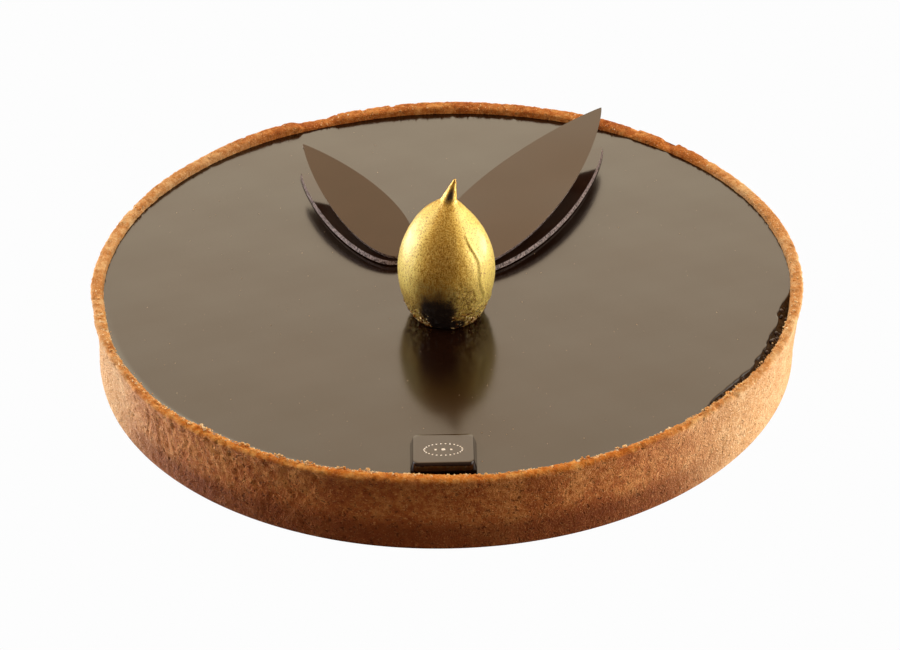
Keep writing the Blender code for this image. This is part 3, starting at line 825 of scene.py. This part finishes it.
# The plaque. A moulded tablet of dark chocolate with sloping sides and a flat top as glossy as its
# mould. A stack of rounded rectangles, from the middle of the top down to the middle of the base.
PLAQUE_X, PLAQUE_Y = -1.3 * MM, -95.6 * MM
PLAQUE_TILT = math.radians(1.5)
PLAQUE_DEPTH = 16.4 * MM
PLAQUE_TOP = (17.1 * MM, 14.4 * MM)
PLAQUE_THICKNESS = 2.7 * MM
PLAQUE_COLUMNS = 160


def rounded_ring(half_x, half_y, corner, columns):
    """Points round a rectangle with quarter-circle corners: the points of a circle of the corner radius,
    each quarter of it moved out into its own corner."""
    angle = 2 * np.pi * (np.arange(columns) + 0.5) / columns
    ring = np.stack([np.cos(angle), np.sin(angle)], -1)
    corner = min(corner, half_x, half_y)
    return corner * ring + np.sign(ring) * (half_x - corner, half_y - corner)


def on_plaque(points):
    """Carries points of the level plaque to where it lies, tipped by a turn about the X axis."""
    cos_tilt, sin_tilt = math.cos(PLAQUE_TILT), math.sin(PLAQUE_TILT)
    x, y, z = points[..., 0], points[..., 1], points[..., 2]
    tipped = np.stack([x, y * cos_tilt + z * sin_tilt, z * cos_tilt - y * sin_tilt], -1)
    return tipped + (PLAQUE_X, PLAQUE_Y, GANACHE_TOP + GAP + 0.5 * PLAQUE_DEPTH * sin_tilt)


# Each ring: its share of the top's half-sizes, and in mm how far out it is beyond that, how far below
# the top, and its corner radius.
rings = []
for share, beyond, below, corner in [
    (0.0, 0.0, 0.0, 1.4),
    (0.5, 0.0, 0.0, 1.4),
    (0.9, 0.0, 0.0, 1.4),
    (1.0, -0.25, 0.0, 1.4),
    (1.0, -0.08, 0.04, 1.5),
    (1.0, 0.05, 0.16, 1.6),
    (1.0, 0.12, 0.35, 1.7),
    (1.0, 0.85, 2.4, 2.0),
    (1.0, 0.80, 2.65, 2.0),
    (1.0, 0.55, 2.7, 2.0),
    (0.5, 0.0, 2.7, 1.5),
    (0.0, 0.0, 2.7, 1.5),
]:
    half_x = max(share * PLAQUE_TOP[0] / 2 + beyond * MM, 1e-6)
    half_y = max(share * PLAQUE_TOP[1] / 2 + beyond * MM, 1e-6)
    ring = rounded_ring(half_x, half_y, corner * MM, PLAQUE_COLUMNS)
    rings.append(np.column_stack([ring, np.full(len(ring), PLAQUE_THICKNESS - below * MM)]))
plaque = closed_piece("plaque_tablet", on_plaque(np.array(rings)))

# Moulded dark chocolate: polished by its mould, faintly uneven.
material, tree, shader, place = new_material("moulded_chocolate")
cloud = add(tree, "TexNoise", {"Scale": 1 / (5 * MM), "Detail": 2.0}, {"Vector": place})
face = add(tree, "ValToRGB", {}, {"Fac": cloud.outputs["Fac"]}, [(0.3, "#1C0E08"), (0.7, "#24130B")])
tree.links.new(face.outputs["Color"], shader.inputs["Base Color"])
dull = add(tree, "MapRange", {"To Min": 0.06, "To Max": 0.12}, {"Value": cloud.outputs["Fac"]})
tree.links.new(dull.outputs[0], shader.inputs["Roughness"])
plaque.data.materials.append(material)
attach(plaque, "root")
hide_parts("plaque")

# The plaque's ornament. An oval of dots round a row of three, printed on the plaque in white cocoa
# butter. Each dot is a flattened ball.
OVAL_DOTS = 26
turn = 2 * np.pi * np.arange(OVAL_DOTS) / OVAL_DOTS
oval = np.column_stack([5.4 * np.cos(turn), 2.9 * np.sin(turn), 0 * turn])
row = np.array([[-2.2, 0, 0], [0, 0, 0], [2.2, 0, 0]])
dots = np.vstack([oval, row]) * MM + (0, -0.6 * MM, PLAQUE_THICKNESS)
sizes = np.append(np.full(OVAL_DOTS, 0.6 * MM), [0.9 * MM, 1.3 * MM, 0.9 * MM])
ornament = lumps("plaque_ornament", on_plaque(dots), sizes, 71, flat=0.2, uneven=0.05, divisions=2)

# White cocoa butter: ivory and waxy.
ivory = [(0.3, "#ECE8E2"), (0.7, "#FBF8F2")]
ornament.data.materials.append(mottled_material("white_cocoa_butter", 1.5 * MM, ivory, 0.45))
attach(ornament, "root")

# The studio. A pale seamless floor that gives no light of its own to the tart, a tall warm glow behind,
# whose reflection is the sheen of the chocolate, a dim warm room in front, and soft lights at the sides.
FLOOR_HALF = 6.0
floor_mesh = bpy.data.meshes.new("studio_floor")
floor_mesh.from_pydata(
    [(x * FLOOR_HALF, y * FLOOR_HALF, -0.0004) for x, y in ((-1, -1), (1, -1), (1, 1), (-1, 1))],
    [],
    [(0, 1, 2, 3)],
)
floor = bpy.data.objects.new("studio_floor", floor_mesh)
bpy.context.scene.collection.objects.link(floor)
floor.visible_diffuse = False
floor.visible_glossy = False
floor.visible_shadow = False
material, tree, shader, place = new_material("studio_paper")
paper = add(tree, "Emission", {"Color": srgb("#FDFDFD"), "Strength": 1.0})
tree.links.new(paper.outputs[0], tree.nodes["Material Output"].inputs["Surface"])
floor_mesh.materials.append(material)

# The room is seen only by what it lights. Straight from the camera there is the same white as the floor.
GLOW = 3.2
world = bpy.data.worlds.new("studio_room")
bpy.context.scene.world = world
world.use_nodes = True
tree = world.node_tree
direction = add(tree, "TexCoord").outputs["Generated"]
split = add(tree, "SeparateXYZ", {}, {0: direction})
glow = add(
    tree,
    "ValToRGB",
    {},
    {"Fac": split.outputs["Z"]},
    [
        (0.0, "#1E140C"),
        (0.10, "#FBE8C9"),
        (0.48, "#FBE8C9"),
        (0.545, "#F3DBBD"),
        (0.60, "#F1D8B6"),
        (0.683, "#E7C197"),
        (0.736, "#CFAE87"),
        (0.90, "#6E5440"),
    ],
)
stops = [(0.0, "#15100B"), (0.10, "#5E4C3F"), (0.9, "#4C3D2E")]
dim = add(tree, "ValToRGB", {}, {"Fac": split.outputs["Z"]}, stops)
sideways = add(tree, "Math", {"operation": "ABSOLUTE"}, {0: split.outputs["X"]})
middle = add(
    tree,
    "MapRange",
    {"interpolation_type": "SMOOTHSTEP", "From Min": 0.60, "From Max": 0.32},
    {"Value": sideways.outputs[0]},
)
back_share = add(
    tree,
    "MapRange",
    {"interpolation_type": "SMOOTHSTEP", "From Min": 0.20, "From Max": 0.55},
    {"Value": split.outputs["Y"], "To Max": middle.outputs[0]},
)
room = blend_tones(tree, back_share.outputs[0], dim.outputs["Color"], glow.outputs["Color"])
# The side lights: azimuth, elevation and the half-angles within which each is full and beyond which it
# has gone, all in degrees, then radiance and colour. Those from below stand for a pale table, and reach
# only the crust; the level ones and those higher up glint on the gold; the last warms the leaves.
SIDE_LIGHTS = [
    (146, -22, 8, 30, 9.2, "#FFFFFF"),
    (25, -22, 8, 26, 13.5, "#FFFAF0"),
    (168, 6, 6, 24, 4.6, "#FFFFFF"),
    (354, 2, 10, 36, 3.9, "#FFFAF2"),
    (172, 38, 6, 26, 2.5, "#FFFFFF"),
    (6, 38, 6, 26, 2.5, "#FFF6E6"),
    (200, 76, 15, 48, 0.42, "#FFEBCB"),
]
for turn, rise, full, faded, radiance, colour in SIDE_LIGHTS:
    turn, rise = math.radians(turn), math.radians(rise)
    middle = (math.cos(turn) * math.cos(rise), math.sin(turn) * math.cos(rise), math.sin(rise))
    near = add(tree, "VectorMath", {"operation": "DOT_PRODUCT", 1: middle}, {0: direction})
    span = {"From Min": math.cos(math.radians(faded)), "From Max": math.cos(math.radians(full))}
    share = add(
        tree,
        "MapRange",
        {"interpolation_type": "SMOOTHSTEP", "To Max": radiance / GLOW, **span},
        {"Value": near.outputs["Value"]},
    )
    cap = {"operation": "SCALE", 0: srgb(colour)[:3]}
    cap = add(tree, "VectorMath", cap, {"Scale": share.outputs[0]})
    summed = {"data_type": "RGBA", "blend_type": "ADD", 0: 1.0}
    room = add(tree, "Mix", summed, {6: room, 7: cap.outputs[0]}).outputs[2]
seen = add(tree, "LightPath")
shown = blend_tones(tree, seen.outputs["Is Camera Ray"], room, "#FDFDFD")
strength = add(tree, "Mix", {2: GLOW, 3: 1.0}, {0: seen.outputs["Is Camera Ray"]})
tree.links.new(shown, tree.nodes["Background"].inputs["Color"])
tree.links.new(strength.outputs[0], tree.nodes["Background"].inputs["Strength"])

# The camera stands 0.9 m from the tart, looking down at it with a long lens.
CAMERA_DISTANCE = 0.9
CAMERA_ELEVATION = math.radians(33.09)
CAMERA_ROLL = math.radians(-1.17)
CAMERA_TARGET = Vector((1.29 * MM, 8.2 * MM, 0.0))
camera_data = bpy.data.cameras.new("camera")
camera_data.sensor_width = 36.0
camera_data.lens = 113.5
camera = bpy.data.objects.new("camera", camera_data)
back = Vector((0.0, -math.cos(CAMERA_ELEVATION), math.sin(CAMERA_ELEVATION)))
camera.location = CAMERA_TARGET + CAMERA_DISTANCE * back
turn = back.to_track_quat("Z", "Y").to_matrix() @ Matrix.Rotation(CAMERA_ROLL, 3, "Z")
camera.rotation_euler = turn.to_euler()
bpy.context.scene.collection.objects.link(camera)
bpy.context.scene.camera = camera
bpy.context.scene.view_settings.view_transform = "Standard"
